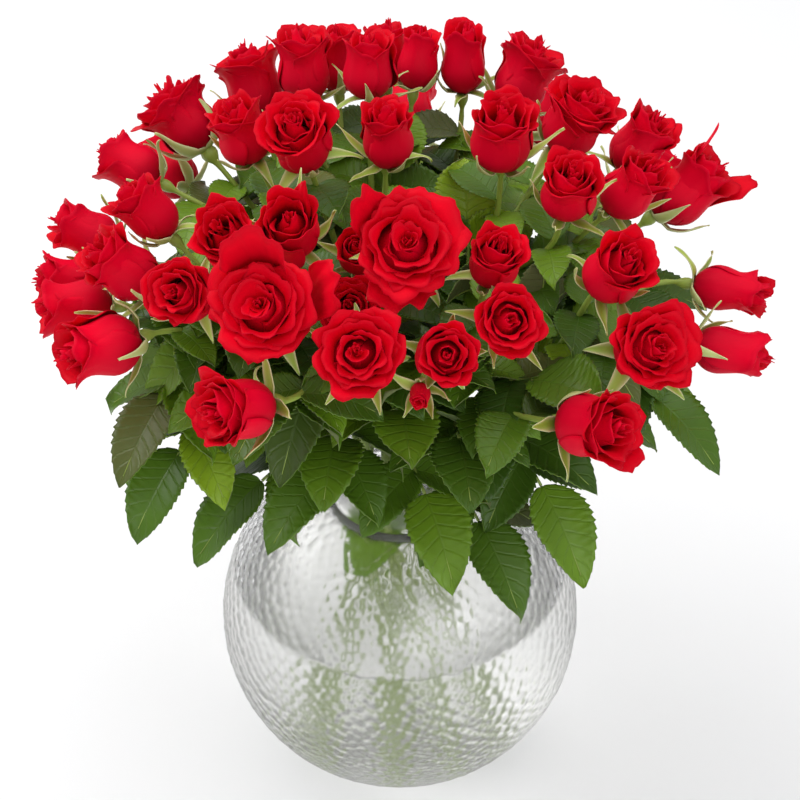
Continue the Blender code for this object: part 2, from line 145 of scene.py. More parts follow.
neck_start = middle + sqrt(ball**2 - (neck + 0.005) ** 2)
outer_low, outer_high = -acos(foot / ball), acos((neck + 0.005) / ball)
inner_ball = ball - wall
floor = shell[shell[:, 2] > 0.002, 2].min()
inner_low = -acos(sqrt(inner_ball**2 - (middle - floor) ** 2) / inner_ball)
foot_ring = smoothed([
    (0, 0.003), (foot * 0.6, 0.0025), (foot * 0.86, 0), (foot, 0), (foot + 0.0018, 0.002),
], 9)
outside = ball_arc(ball, outer_low + 0.05, outer_high, 178)
neck_line = smoothed([
    outside[-1], (neck, neck_start + 0.001), (neck, rim - 0.012), (lip - 0.002, rim - 0.003), (lip, rim),
    (lip - wall * 0.6, rim + 0.0008), (lip - wall - 0.001, rim - 0.003), (bore, rim - 0.014),
    (bore, neck_start + 0.001), (bore + 0.006, neck_start - 0.004),
], 30)
inside = ball_arc(inner_ball, inner_low, acos((bore + 0.006) / inner_ball), 28)[::-1]
vase_profile = np.vstack([foot_ring, outside, neck_line[1:], inside, [(0, floor)]])
vase_points, vase_faces = turned(vase_profile, VASE_SIDES)

dimple_count = int(4 * pi * ball**2 / HAMMER_PITCH**2)
rng = np.random.default_rng(7)
fall = 1 - 2 * (np.arange(dimple_count) + 0.5) / dimple_count
around = np.arange(dimple_count) * pi * (3 - sqrt(5))
level_reach = np.sqrt(1 - fall**2)
dimples = np.stack([level_reach * np.cos(around), level_reach * np.sin(around), fall], -1) * ball
dimples += rng.normal(0, HAMMER_PITCH * 0.16, dimples.shape)
hammered = np.arange(len(foot_ring) * VASE_SIDES, (len(foot_ring) + len(outside)) * VASE_SIDES)
tree = KDTree(dimple_count)
for i, dimple in enumerate(dimples):
    tree.insert(dimple, i)
tree.balance()
for i in hammered:
    out = Vector(vase_points[i]) - Vector((0, 0, middle))
    (_, _, first), (_, _, second) = tree.find_n(out, 2)
    row = i // VASE_SIDES - len(foot_ring)
    fade = min(1.0, row / 6, (len(outside) - row) / 10)
    ridge = max(0.0, 1 - (second - first) / (HAMMER_PITCH * 0.55))
    deep = HAMMER_DEPTH * fade * (min(1.0, (first / HAMMER_PITCH) ** 2 * 1.6) * 0.8 + ridge**2 * 0.35 - 0.9)
    vase_points[i] += out.normalized() * deep


def clear_shadow(nodes, links, shader, clearness):
    """Lets light through a clear body, so that its shadow is as faint as a real one's."""
    kinds = ("LightPath", "BsdfTransparent", "MixShader")
    ray, pane, both = (nodes.new("ShaderNode" + kind) for kind in kinds)
    pane.inputs["Color"].default_value = (clearness, clearness, clearness, 1)
    links.new(ray.outputs["Is Shadow Ray"], both.inputs["Fac"])
    links.new(shader.outputs["BSDF"], both.inputs[1])
    links.new(pane.outputs["BSDF"], both.inputs[2])
    links.new(both.outputs["Shader"], nodes["Material Output"].inputs["Surface"])


glass, nodes, links, shader = new_material("clear glass")
shader.inputs["Base Color"].default_value = (1.0, 1.0, 0.995, 1)
shader.inputs["Roughness"].default_value = 0.21
shader.inputs["IOR"].default_value = 1.5
shader.inputs["Transmission Weight"].default_value = 1.0
where = nodes.new("ShaderNodeTexCoord")
seams = nodes.new("ShaderNodeTexVoronoi")
seams.feature = "SMOOTH_F1"
seams.inputs["Scale"].default_value = 210
seams.inputs["Smoothness"].default_value = 0.35
links.new(where.outputs["Object"], seams.inputs["Vector"])
bump = nodes.new("ShaderNodeBump")
bump.inputs["Strength"].default_value = 0.10
bump.inputs["Distance"].default_value = 0.0010
links.new(seams.outputs["Distance"], bump.inputs["Height"])
links.new(bump.outputs["Normal"], shader.inputs["Normal"])
clear_shadow(nodes, links, shader, 0.98)
place_piece("vase_glass", mesh_of("vase_glass", vase_points, vase_faces), glass, "glass", "vase")


# The water. It fills the ball to its level and wets the glass, so it meets the wall with no gap, and its edge
# creeps up the glass a little.
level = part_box("water")[1].z
wet = inner_ball + 0.0002
level_angle = np.arcsin((level - middle) / wet)
water_side = ball_arc(wet, inner_low, level_angle, 60)
edge = water_side[-1]
water_top = [
    (edge[0] - 0.0012, edge[1] + 0.0002), (edge[0] - 0.004, level - 0.0008), (edge[0] * 0.5, level - 0.001),
]
water_profile = np.vstack([[(0, floor - 0.0002)], water_side, water_top, [(0, level - 0.001)]])
water_points, water_faces = turned(water_profile, 128)
water, nodes, links, shader = new_material("water")
shader.inputs["Base Color"].default_value = (1.0, 1.0, 0.99, 1)
shader.inputs["Roughness"].default_value = 0.0
shader.inputs["IOR"].default_value = 1.33
shader.inputs["Transmission Weight"].default_value = 1.0
clear_shadow(nodes, links, shader, 1.0)
place_piece("water_body", mesh_of("water_body", water_points, water_faces), water, "water", "water")


# The stalks. Each spray is one smooth green stem that stands in the water, leans through the neck and parts
# into a thinner stalk for every bloom. Under the bloom the stalk swells into the hip, a small urn that is one
# with it. Small leaves grow along the stalks.
STEM_RADII = (0.0027, 0.0021)
STALK_SHARES = (0.98, 0.36)
STALK_RADII = (0.0018, 0.0014)
HIP = ((-0.0100, 0.0015), (-0.0085, 0.0019), (-0.0068, 0.0029), (-0.0048, 0.0039), (-0.0028, 0.0041),
       (-0.0012, 0.0036), (0.0006, 0.0030), (0.0020, 0.0024))
DROOP = 0.35
LEAF_CLEARANCE = 0.003
# Where the small leaves grow, as shares of a stalk, and how far each is turned from outwards, in radians.
SMALL_LEAVES = ((0.06, 2.8), (0.16, -1.5), (0.30, 0.8), (0.44, -0.9), (0.60, 1.1), (0.74, -1.3), (0.84, 2.2))


def welded(obj):
    """The distinct points of a node, and its triangles as indices into them."""
    corners = np.array([v.co for v in obj.data.vertices])
    _, first, index = np.unique(np.round(corners, 6), axis=0, return_index=True, return_inverse=True)
    obj.data.calc_loop_triangles()
    triangles = np.array([t.vertices[:] for t in obj.data.loop_triangles])
    return corners[first], index.reshape(-1)[triangles]


def curve_points(start, start_way, end, end_way, steps, reach=0.38):
    """A smooth line from one place and direction to another."""
    pull = (end - start).length * reach
    b, c = start + start_way.normalized() * pull, end - end_way.normalized() * pull
    return [start * (1 - t) ** 3 + b * 3 * t * (1 - t) ** 2 + c * 3 * t * t * (1 - t) + end * t**3
            for t in (k / steps for k in range(steps + 1))]


def place_along(line, share):
    """The place at a share of a line's length, and the direction there."""
    left = share * sum((b - a).length for a, b in zip(line, line[1:]))
    for a, b in zip(line, line[1:]):
        if left <= (b - a).length:
            break
        left -= (b - a).length
    return a + (b - a).normalized() * left, (b - a).normalized()


def tube_mesh(line, radii, value, sides=12):
    """Points, faces and values of a closed tube along a line."""
    line = np.array([tuple(p) for p in line])
    ways = np.gradient(line, axis=0)
    ways /= np.linalg.norm(ways, axis=1, keepdims=True)
    side = np.cross(ways[0], (0.3, 0.9, 0.1))
    turns = np.arange(sides) * 2 * pi / sides
    rings = []
    for place, way, radius in zip(line, ways, radii):
        side = side - way * (side @ way)
        side /= np.linalg.norm(side)
        other = np.cross(way, side)
        rings.append(place + radius * (np.cos(turns)[:, None] * side + np.sin(turns)[:, None] * other))
    index = np.arange(len(line) * sides).reshape(len(line), sides)
    after = np.roll(index, -1, axis=1)
    faces = np.stack([index[:-1], after[:-1], after[1:], index[1:]], -1).reshape(-1, 4).tolist()
    faces += [index[0][::-1].tolist(), index[-1].tolist()]
    told = np.repeat(np.linspace(0, 1, len(line)), sides)
    values = np.stack([np.full_like(told, value[0]), told, np.full_like(told, value[1])], -1)
    return np.vstack(rings), faces, values


def gathered(shapes):
    """Many shapes, each of points, faces and values, as one."""
    points, faces, values, base = [], [], [], 0
    for shape_points, shape_faces, shape_values in shapes:
        points.append(shape_points)
        values.append(shape_values)
        faces += [[base + i for i in face] for face in shape_faces]
        base += len(shape_points)
    return np.vstack(points), faces, np.vstack(values)


def heads_of(spray):
    """The blooms of a spray as seat, axis, width and height, read from the part's own solids."""
    found = []
    start = "bloom_" + spray + "_"
    for name in sorted(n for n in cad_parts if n.startswith(start) and n[len(start):].isdigit()):
        points, _ = welded(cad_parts[name])
        gaps = [surfaces[spray].find_nearest(Vector(point))[3] for point in points]
        near = sorted(range(len(points)), key=gaps.__getitem__)[:10]
        seat = points[near].mean(0)
        axis = np.linalg.svd(points[near] - seat)[2][2]
        axis *= np.sign(axis @ (points.mean(0) - seat))
        rise = (points - seat) @ axis
        spread = np.linalg.norm(points - seat - rise[:, None] * axis, axis=1)
        across = 2 * spread[abs(rise / rise.max() - 0.48) < 0.05].mean() / 0.97
        found.append((name[6:], Vector(seat), Vector(axis), across, rise.max()))
    return found


sprays = sorted(n[5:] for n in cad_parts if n.startswith("stem_"))
solids = {spray: welded(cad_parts["stem_" + spray]) for spray in sprays}
surfaces = {spray: BVHTree.FromPolygons(*(part.tolist() for part in solids[spray])) for spray in sprays}
heads = {spray: heads_of(spray) for spray in sprays}

mottling = bpy.data.node_groups.new("mottling", "ShaderNodeTree")
for name, kind in (("Color", "Color"), ("Blotch Color", "Color"), ("Amount", "Float"), ("Scale", "Float")):
    mottling.interface.new_socket(name, in_out="INPUT", socket_type="NodeSocket" + kind)
for name, kind in (("Color", "Color"), ("Height", "Float")):
    mottling.interface.new_socket(name, in_out="OUTPUT", socket_type="NodeSocket" + kind)
given, result, where, cloud, share, blend = (mottling.nodes.new(kind) for kind in (
    "NodeGroupInput", "NodeGroupOutput", "ShaderNodeTexCoord", "ShaderNodeTexNoise", "ShaderNodeMath",
    "ShaderNodeMix"))
cloud.inputs["Detail"].default_value = 4
share.operation = "MULTIPLY"
blend.data_type = "RGBA"
for start, end in (
    (where.outputs["Object"], cloud.inputs["Vector"]), (given.outputs["Scale"], cloud.inputs["Scale"]),
    (cloud.outputs["Fac"], share.inputs[0]), (given.outputs["Amount"], share.inputs[1]),
    (share.outputs["Value"], blend.inputs["Factor"]), (given.outputs["Color"], blend.inputs["A"]),
    (given.outputs["Blotch Color"], blend.inputs["B"]), (blend.outputs["Result"], result.inputs["Color"]),
    (cloud.outputs["Fac"], result.inputs["Height"]),
):
    mottling.links.new(start, end)


def mottled(colour, blotch, amount, scale):
    """The blotches of a living surface over a colour socket. Its outputs are Color and Height."""
    node = nodes.new("ShaderNodeGroup")
    node.node_tree = mottling
    links.new(colour, node.inputs["Color"])
    node.inputs["Blotch Color"].default_value = blotch
    node.inputs["Amount"].default_value = amount
    node.inputs["Scale"].default_value = scale
    return node.outputs


green, nodes, links, shader = new_material("green stalks")
told = nodes.new("ShaderNodeAttribute")
told.attribute_name = "stalk"
parts = nodes.new("ShaderNodeSeparateXYZ")
links.new(told.outputs["Vector"], parts.inputs["Vector"])
shade = nodes.new("ShaderNodeValToRGB")
shade.color_ramp.elements[0].color = (0.22, 0.31, 0.075, 1)
shade.color_ramp.elements[1].color = (0.40, 0.56, 0.085, 1)
links.new(parts.outputs["X"], shade.inputs["Fac"])
blotches = mottled(shade.outputs["Color"], (0.20, 0.24, 0.040, 1), 0.55, 130)
links.new(blotches["Color"], shader.inputs["Base Color"])
shader.inputs["Roughness"].default_value = 0.42

bloom_points, bloom_faces = [], []
for name in sorted(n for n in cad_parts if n.startswith("bloom_")):
    points, triangles = welded(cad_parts[name])
    bloom_faces += (triangles + len(bloom_points)).tolist()
    bloom_points += points.tolist()
bloom_surface = BVHTree.FromPolygons(bloom_points, bloom_faces)


def room_for_leaf(place, reach, length):
    """How far a small leaf stays from the blooms. It is below zero where the leaf would run into one."""
    side = reach.cross(Vector((0, 0, 1))).normalized() * length * 0.3
    room = length
    for share, aside in ((0.3, 0), (0.55, 0), (0.55, 1), (0.55, -1), (0.8, 0), (1.0, 0)):
        spot = place + reach * length * share + side * aside - Vector((0, 0, DROOP * length * share**2))
        near, normal, _, distance = bloom_surface.find_nearest(spot)
        room = min(room, distance if (spot - near).dot(normal) > 0 else -distance)
    return room


def clear_way(place, out, way, aside, length):
    """The way nearest the wanted one, turned about +Z, in which a small leaf keeps clear of the blooms."""
    best = None
    for turn in (0, 0.4, -0.4, 0.8, -0.8, 1.2, -1.2, 1.7, -1.7, 2.3, -2.3):
        angle = aside + turn
        level_way = out * cos(angle) + Vector((-out.y, out.x, 0)) * sin(angle)
        for rise in (0.45, 0.1, -0.3):
            reach = (level_way + way * rise).normalized()
            room = room_for_leaf(place, reach, length)
            if room > LEAF_CLEARANCE:
                return reach
            if best is None or room > best[0]:
                best = (room, reach)
    return best[1]


stalk_shapes, small_leaves, stalk_lines = {}, {spray: [] for spray in sprays}, {}
for spray in sprays:
    points = solids[spray][0]
    foot_place = Vector(points[np.argsort(points[:, 2])[:6]].mean(0))
    in_neck = (abs(points[:, 2] - rim) < 0.002) & (np.hypot(points[:, 0], points[:, 1]) < bore)
    neck_place = Vector(points[in_neck].mean(0))
    seats = [seat for _, seat, _, _, _ in heads[spray]]
    centre = sum(seats, Vector()) / len(seats)
    crown = neck_place.lerp(centre, 0.46) + Vector((0, 0, 0.012))
    stem = curve_points(neck_place, neck_place - foot_place, crown, centre - crown, 18)
    whole = [foot_place.lerp(neck_place, k / 24) for k in range(24)] + stem
    shapes = [tube_mesh(whole, np.linspace(*STEM_RADII, len(whole)), (0.1, 0))]
    order = sorted(range(len(seats)), key=lambda i: (seats[i] - stem[-1]).length, reverse=True)
    for rank, i in enumerate(order):
        _, seat, axis, across, _ = heads[spray][i]
        base, way = place_along(stem, STALK_SHARES[0] - STALK_SHARES[1] * rank / len(seats))
        root = seat - axis * 0.009
        side = axis.cross(root - base).normalized()
        way = way + (root - base).normalized() * 0.6
        best = None
        for bow in (0, 0.15, -0.15, 0.3, -0.3, 0.45, -0.45, 0.6, -0.6):
            for reach in (0.38, 0.26, 0.5, 0.62):
                line = curve_points(base, way + side * bow * 2, root, axis - side * bow * 0.3, 16, reach)
                off = max(surfaces[spray].find_nearest(p)[3] for p in line[4:14:3])
                if best is None or off < best[0]:
                    best = (off, line)
        stalk_lines[heads[spray][i][0]] = best[1]
        line = best[1][:-1]
        size = min(1.12, max(0.75, across / 0.038))
        radii = list(np.linspace(*STALK_RADII, len(line))) + [radius * size for _, radius in HIP]
        radii[0] = STEM_RADII[1]
        line += [seat + axis * up for up, _ in HIP]
        shapes.append(tube_mesh(line, radii, (0.75, 0)))
        out = Vector((root.x, root.y, 0)).normalized()
        for share, aside in SMALL_LEAVES:
            foot_of_leaf, way = place_along(best[1], share)
            reach = clear_way(foot_of_leaf, out, way, aside, 0.035)
            small_leaves[spray].append((foot_of_leaf, reach, (0.027, 0.040)))
    stalk_shapes[spray] = shapes

# One small bud of the front spray has hardly opened. It hangs from the stalk of the spray's first bloom.
_, first_seat, _, _, _ = heads["front"][0]
bud_seat = first_seat + Vector((-0.011, -0.007, -0.012))
bud_axis = Vector((-0.1, -0.9, 0.1)).normalized()
bud_base, bud_way = place_along(stalk_lines["front_1"], 0.45)
bud_line = curve_points(bud_base, bud_way, bud_seat - bud_axis * 0.008, bud_axis, 14, 0.5)[:-1]
bud_radii = list(np.linspace(0.0013, 0.0011, len(bud_line))) + [radius * 0.7 for _, radius in HIP]
bud_hip = [bud_seat + bud_axis * up * 0.8 for up, _ in HIP]
stalk_shapes["front"].append(tube_mesh(bud_line + bud_hip, bud_radii, (0.75, 0)))
heads["front"].append(("front_bud", bud_seat, bud_axis, 0.0085, 0.012))

# Two leaves hang from each side spray at some shares of its stalks.
for side_spray, share in (
    ("left", 0.62), ("left", 0.40), ("right", 0.66), ("right", 0.45), ("front_left", 0.5),
):
    for name, line in stalk_lines.items():
        if name in (side_spray + "_1", side_spray + "_4"):
            place, _ = place_along(line, share)
            out = Vector((line[-1].x, line[-1].y, 0)).normalized()
            hanging = (out + Vector((0, 0, -0.55))).normalized()
            small_leaves[side_spray].append((place, hanging, (0.040, 0.046)))

# Three longer leaves reach out under the outer blooms. Each has a leaflet at its end and a pair behind it.
# Its place is the step from its bloom's seat to the end of its stalk.
for name, share, step in (
    ("left_1", 0.55, (0.013, -0.025, -0.040)),
    ("left_4", 0.45, (0.004, -0.003, -0.076)),
    ("right_2", 0.55, (-0.012, -0.022, -0.015)),
):
    base, way = place_along(stalk_lines[name], share)
    end = stalk_lines[name][-1] + Vector(step)
    out = Vector((end.x - base.x, end.y - base.y, 0)).normalized()
    line = curve_points(base, way, end, out - Vector((0, 0, 0.3)), 12)
    stalk_shapes[name[:-2]].append(tube_mesh(line, np.linspace(0.0012, 0.0008, 13), (0.45, 0), 8))
    for at, aside, longest in ((1.0, 0.1, 0.046), (0.74, 1.2, 0.040), (0.74, -1.2, 0.040)):
        place, _ = place_along(line, at)
        level_way = out * cos(aside) + Vector((-out.y, out.x, 0)) * sin(aside)
        hanging = (level_way - Vector((0, 0, 0.30))).normalized()
        small_leaves[name[:-2]].append((place, hanging, (longest - 0.004, longest)))

# Two more hang inside the ball from the front spray's stem.
front_points = solids["front"][0]
front_foot = Vector(front_points[np.argsort(front_points[:, 2])[:6]].mean(0))
in_ball = front_foot.lerp(Vector((0, 0, rim)), 0.86)
small_leaves["front"] += [(in_ball, Vector((-0.62, -0.45, -0.62)).normalized(), (0.048, 0.050)),
                          (in_ball, Vector((0.70, -0.45, -0.35)).normalized(), (0.040, 0.042))]


# The leaves. Each leaf is a thin ribbed stalk with three or five toothed leaflets that fold a little along
# the midrib. They are dark and waxy above, pale and matt below, and the midrib stands proud underneath.
LEAF_LENGTH = 0.046
SHORTEST_LEAFLET = 0.020
LEAF_STALK = 0.056
LEAF_COLUMNS = 11
TEETH = 14


def leaflets_of(points, triangles):
    """The leaflets of a spray as base, reach, width vector, up vector and length, read from its solid."""
    around = [set() for _ in points]
    for a, b, c in triangles:
        around[a] |= {b, c}
        around[b] |= {a, c}
        around[c] |= {a, b}
    found = []
    for tip, near in enumerate(around):
        if len(near) != 4:
            continue
        near = sorted(near)
        gap, a, b = min((np.linalg.norm(points[i] - points[j]), i, j) for i in near for j in near if i < j)
        if abs(gap - 0.001) > 0.0001:
            continue
        left, right = (i for i in near if i not in (a, b))
        rib = (points[a] + points[b]) / 2
        d = points[tip] - rib
        down = DROOP * (1 - 0.66**2)
        even = 0.34**2 - down**2
        length = (down * d[2] + sqrt((down * d[2]) ** 2 + even * (d @ d))) / even
        reach = (d + (0, 0, down * length)) / 0.34
        across = (points[left] - points[right]) / 0.84
        if length < SHORTEST_LEAFLET or abs(np.linalg.norm(across) / length - 0.674) > 0.05:
            continue
        up = (points[left] + points[right]) / 2 - rib
        base = points[tip] - reach + (0, 0, DROOP * length)
        found.append((base, reach, across, up / np.linalg.norm(up), length))
    return found


def leaf_rows():
    """The places along a leaflet of its teeth's notches and points, and how far each stands out."""
    rows = [(0.012, 0.96)]
    for k in range(TEETH):
        rows += [((k + 0.28) / TEETH, 1.0), ((k + 0.80) / TEETH, 1.06), ((k + 0.94) / TEETH, 0.97)]
    return np.array([row for row in rows if row[0] < 0.985] + [(0.995, 1.0)]).T


def leaf_grid(base, reach, across, up, length, rng):
    """One leaflet as a grid of points, from its base to its tip and from edge to edge."""
    s, tooth = leaf_rows()
    u = np.linspace(-1, 1, LEAF_COLUMNS)
    half = 1.30 * s**0.60 * (1 - s) ** 0.80 * tooth
    line = base + reach * s[:, None] - np.outer(DROOP * length * s**2, (0, 0, 1))
    width = np.linalg.norm(across)
    twist = rng.normal(0, 0.12) * s[:, None]
    wave = rng.uniform(0.02, 0.05) * np.sin(
        s[:, None] * rng.uniform(5, 9) + rng.uniform(0, 6) + (u > 0) * 1.3)
    ribs = 0.010 * np.cos((s[:, None] - 0.20 * abs(u)) * 2 * pi * 8)
    lift = 0.16 * abs(u) ** 1.4 * half[:, None] * 2 + wave * u**2 + twist * u
    lift = lift + ribs * np.clip(abs(u) * 3, 0, 1)
    lift = lift - 0.05 * s[:, None] ** 4
    grid = line[:, None] + (half[:, None] * u)[:, :, None] * across + lift[:, :, None] * width * 0.9 * up
    return np.clip(grid, *leaf_room)


def sheet_solids(grids, values, thickness):
    """Points, faces and values of thin sheets, from grids. The last value gains 1 on their backs."""
    along = np.gradient(grids, axis=1)
    across = np.gradient(grids, axis=2)
    normal = np.cross(along, across)
    normal /= np.maximum(np.linalg.norm(normal, axis=-1, keepdims=True), 1e-12)
    count, rows, columns = grids.shape[:3]
    each = rows * columns
    front = (grids + normal * thickness / 2).reshape(count, each, 3)
    back = (grids - normal * thickness / 2).reshape(count, each, 3)
    points = np.concatenate([front, back], 1).reshape(-1, 3)
    other = values.reshape(count, each, 3) + (0, 0, 1)
    told = np.concatenate([values.reshape(count, each, 3), other], 1).reshape(-1, 3)
    cell = np.arange(each).reshape(rows, columns)
    a, b, c, d = cell[:-1, :-1], cell[1:, :-1], cell[1:, 1:], cell[:-1, 1:]
    quads = np.stack([a, b, c, d], -1).reshape(-1, 4)
    border = np.concatenate([cell[:, 0], cell[-1, 1:], cell[-2::-1, -1], cell[0, -2:0:-1]])
    ahead = np.roll(border, -1)
    edge = np.stack([ahead, border, border + each, ahead + each], -1)
    one = np.concatenate([quads, quads[:, ::-1] + each, edge])
    faces = (one[None] + (np.arange(count) * 2 * each)[:, None, None]).reshape(-1, 4)
    return points, faces.tolist(), told


foliage, nodes, links, shader = new_material("rose leaves")
told = nodes.new("ShaderNodeAttribute")
told.attribute_name = "leaf"
parts = nodes.new("ShaderNodeSeparateXYZ")
links.new(told.outputs["Vector"], parts.inputs["Vector"])


def sum_node(operation, first, second=None, third=None):
    """A Math node on up to three values or sockets."""
    node = nodes.new("ShaderNodeMath")
    node.operation = operation
    for socket, value in zip(node.inputs, (first, second, third)):
        if isinstance(value, (int, float)):
            socket.default_value = value
        elif value is not None:
            links.new(value, socket)
    return node.outputs["Value"]


def mix_node(share, first, second, blend="MIX"):
    """A colour Mix node on two colours or sockets."""
    node = nodes.new("ShaderNodeMix")
    node.data_type = "RGBA"
    node.blend_type = blend
    sockets = (node.inputs["Factor"], node.inputs["A"], node.inputs["B"])
    for socket, value in zip(sockets, (share, first, second)):
        if isinstance(value, (int, float, tuple)):
            socket.default_value = value
        else:
            links.new(value, socket)
    return node.outputs["Result"]


edge = sum_node("ABSOLUTE", parts.outputs["X"])
vein = sum_node("PINGPONG", sum_node("MULTIPLY", sum_node("SUBTRACT", parts.outputs["Y"],
                sum_node("MULTIPLY", edge, 0.20)), 8.0), 0.5)
vein = sum_node("SMOOTH_MIN", sum_node("MULTIPLY", vein, 7.0), sum_node("MULTIPLY", edge, 16.0), 0.2)
vein = sum_node("SUBTRACT", 1.0, sum_node("MINIMUM", vein, 1.0))
below = sum_node("GREATER_THAN", parts.outputs["Z"], 1.0)
own = sum_node("FRACT", parts.outputs["Z"])
hue = nodes.new("ShaderNodeValToRGB")
hue.color_ramp.elements[0].color = (0.130, 0.130, 0.030, 1)
hue.color_ramp.elements[1].color = (0.32, 0.50, 0.014, 1)
for place, colour in ((0.10, (0.034, 0.088, 0.006, 1)), (0.50, (0.088, 0.190, 0.009, 1)),
                      (0.78, (0.185, 0.345, 0.014, 1))):
    hue.color_ramp.elements.new(place).color = colour
links.new(own, hue.inputs["Fac"])
top_colour = mix_node(sum_node("MULTIPLY", vein, 0.18), hue.outputs["Color"], (0.16, 0.26, 0.05, 1))
blotches = mottled(top_colour, (0.034, 0.074, 0.008, 1), 0.5, 70)
under = mix_node(sum_node("MULTIPLY", vein, 0.5), (0.10, 0.155, 0.055, 1), (0.20, 0.26, 0.11, 1))
under = mix_node(own, under, (0.13, 0.14, 0.045, 1))
links.new(mix_node(below, blotches["Color"], under), shader.inputs["Base Color"])
links.new(sum_node("MULTIPLY_ADD", below, 0.25, 0.38), shader.inputs["Roughness"])
shader.inputs["Specular IOR Level"].default_value = 0.32
bump = nodes.new("ShaderNodeBump")
bump.inputs["Strength"].default_value = 0.5
bump.inputs["Distance"].default_value = 0.0005
relief = sum_node("MULTIPLY_ADD", blotches["Height"], 0.4, sum_node("MULTIPLY", vein, -1.0))
links.new(relief, bump.inputs["Height"])
links.new(bump.outputs["Normal"], shader.inputs["Normal"])

low_side, high_side = np.array(cad_box)
leaf_room = low_side - 0.004, high_side + 0.004
for number, spray in enumerate(sprays):
    rng = np.random.default_rng(number + 101)
    leaflets = leaflets_of(*solids[spray])
    bases = np.array([leaflet[0] for leaflet in leaflets])
    for place, reach, lengths in small_leaves[spray]:
        length = rng.uniform(*lengths)
        across = reach.cross(Vector((0, 0, 1))).normalized()
        up = across.cross(reach).normalized()
        leaflets.append((np.array(place), np.array(reach) * length, np.array(across) * length * 0.66,
                         np.array(up), length))
    grids, values = [], []
    s, _ = leaf_rows()
    along_leaf, across_leaf = np.meshgrid(s, np.linspace(-1, 1, LEAF_COLUMNS), indexing="ij")
    for base, reach, across, up, length in leaflets:
        if np.cross(reach, across) @ up < 0:
            across = -across
        grids.append(leaf_grid(base, reach, across, up, length, rng))
        tone = min(0.98, max(0.02, rng.normal(0.48, 0.27)))
        values.append(np.stack([across_leaf, along_leaf, np.full_like(along_leaf, tone)], -1))
        middle_line = [
            Vector(base + reach * t - np.array((0, 0, DROOP * length * t * t + 0.0002)) - up * 0.0002)
            for t in np.linspace(0, 0.9, 9)
        ]
        stalk_shapes[spray].append(tube_mesh(middle_line, np.linspace(0.0006, 0.0002, 9), (0.45, 0), 6))
        way = reach / length
        stalk_length = length * LEAF_STALK / LEAF_LENGTH
        sag = DROOP * 0.6 * stalk_length
        drop = 0.51 * DROOP * 0.6
        k = -drop * way[2] + sqrt((drop * way[2]) ** 2 + 0.09 - drop**2)
        aim = (k * way + (0, 0, drop)) / 0.3
        pair = base - stalk_length * (0.3 * aim - (0, 0, drop))
        if (np.linalg.norm(bases - pair, axis=1) < 0.0025).sum() < 2:
            continue
        start = base - aim * stalk_length + (0, 0, sag)
        ribbed = [
            Vector(start + aim * stalk_length * t - np.array((0, 0, sag * t * t)))
            for t in np.linspace(0, 1, 12)
        ]
        stalk_shapes[spray].append(tube_mesh(ribbed, np.linspace(0.0012, 0.0008, 12), (0.35, 0), 8))
    if grids:
        points, faces, told_values = sheet_solids(np.array(grids), np.array(values), 0.0004)
        mesh = mesh_of("leaves_" + spray, points, faces, "leaf", told_values)
        place_piece("leaves_" + spray, mesh, foliage, "stem", "stem_" + spray)
    points, faces, told_values = gathered(stalk_shapes[spray])
    mesh = mesh_of("stalks_" + spray, points, faces, "stalk", told_values)
    place_piece("stalks_" + spray, mesh, green, "stem", "stem_" + spray)


# The blooms. Each is a spiral of thin velvety petals on one seat. The inner ones are wound into a heart, the
# middle ones cup it, and the outer ones roll their sides back, which gives them their pointed tips. A bud is
# the same flower with fewer petals, still closed.
PETAL_THICKNESS = 0.00035
PETAL_COLUMNS, PETAL_ROWS = 25, 17
GOLDEN_TURN = pi * (3 - sqrt(5))


def petal_grid(turn, core, out, top, wrap, start, close, curl, curl_from, point, hand, rng, taper=0.24):
    """One petal as a grid of points, its base at the origin's height and the flower's axis up."""
    u = np.linspace(-1, 1, PETAL_COLUMNS)[:, None]
    s = np.linspace(0, 1, PETAL_ROWS)[None, :]
    length = 1 - taper * abs(u) ** (3.2 - 2.6 * taper) + point * np.exp(-((u / 0.26) ** 2))
    length = length + 0.03 * np.sin(u * rng.uniform(7, 12) + rng.uniform(0, 6))
    length = length + 0.012 * np.sin(u * 26 + turn * 7) * abs(np.sin(u * 5 + turn))
    path = s * length
    rolled = np.clip((path - curl_from) / (1 - curl_from), 0, 1.2)
    lean = start + (close - start) * np.clip(path / 0.5, 0, 1) ** 0.8
    lean = lean + curl * (0.42 + 0.95 * abs(u) ** 1.7) * rolled**1.4
    step = length / (s.shape[1] - 1)
    radius = np.cumsum(np.sin(lean) * step, 1)
    height = np.cumsum(np.cos(lean) * step, 1)
    line = PETAL_COLUMNS // 2
    shoulder = radius[line - PETAL_COLUMNS // 4:line + PETAL_COLUMNS // 4 + 1].max()
    radius = core + (out - core) * radius / shoulder
    height = height * top / height[line].max()
    ruffle = rng.uniform(0.4, 1.0) * 0.09 * np.sin(u * rng.uniform(3, 7) + rng.uniform(0, 6)) * s**2.5
    ruffle = ruffle + rng.uniform(0.2, 1.0) * 0.05 * np.sin(u * rng.uniform(8, 13) + rng.uniform(0, 6)) * s**5
    ruffle = ruffle + rng.uniform(0.3, 1.0) * 0.045 * np.sin(s * rng.uniform(4, 8) + rng.uniform(0, 6)) * s
    crease = np.sin(u * 15 + s * 4 + turn * 3) + 0.7 * np.sin(u * 23 - s * 7 + turn * 5)
    ruffle = ruffle + 0.013 * crease * s**1.6
    radius = radius * (1 + hand * 0.045 * u * np.clip(s * 3, 0, 1) + ruffle)
    height = height * (1 + ruffle[:, ::-1] * 0.6)
    width = 0.42 + 0.58 * np.sin(np.clip(path / 0.6, 0, 1) * pi / 2)
    angle = turn + u * wrap * width
    return np.stack([radius * np.cos(angle), radius * np.sin(angle), height], -1)


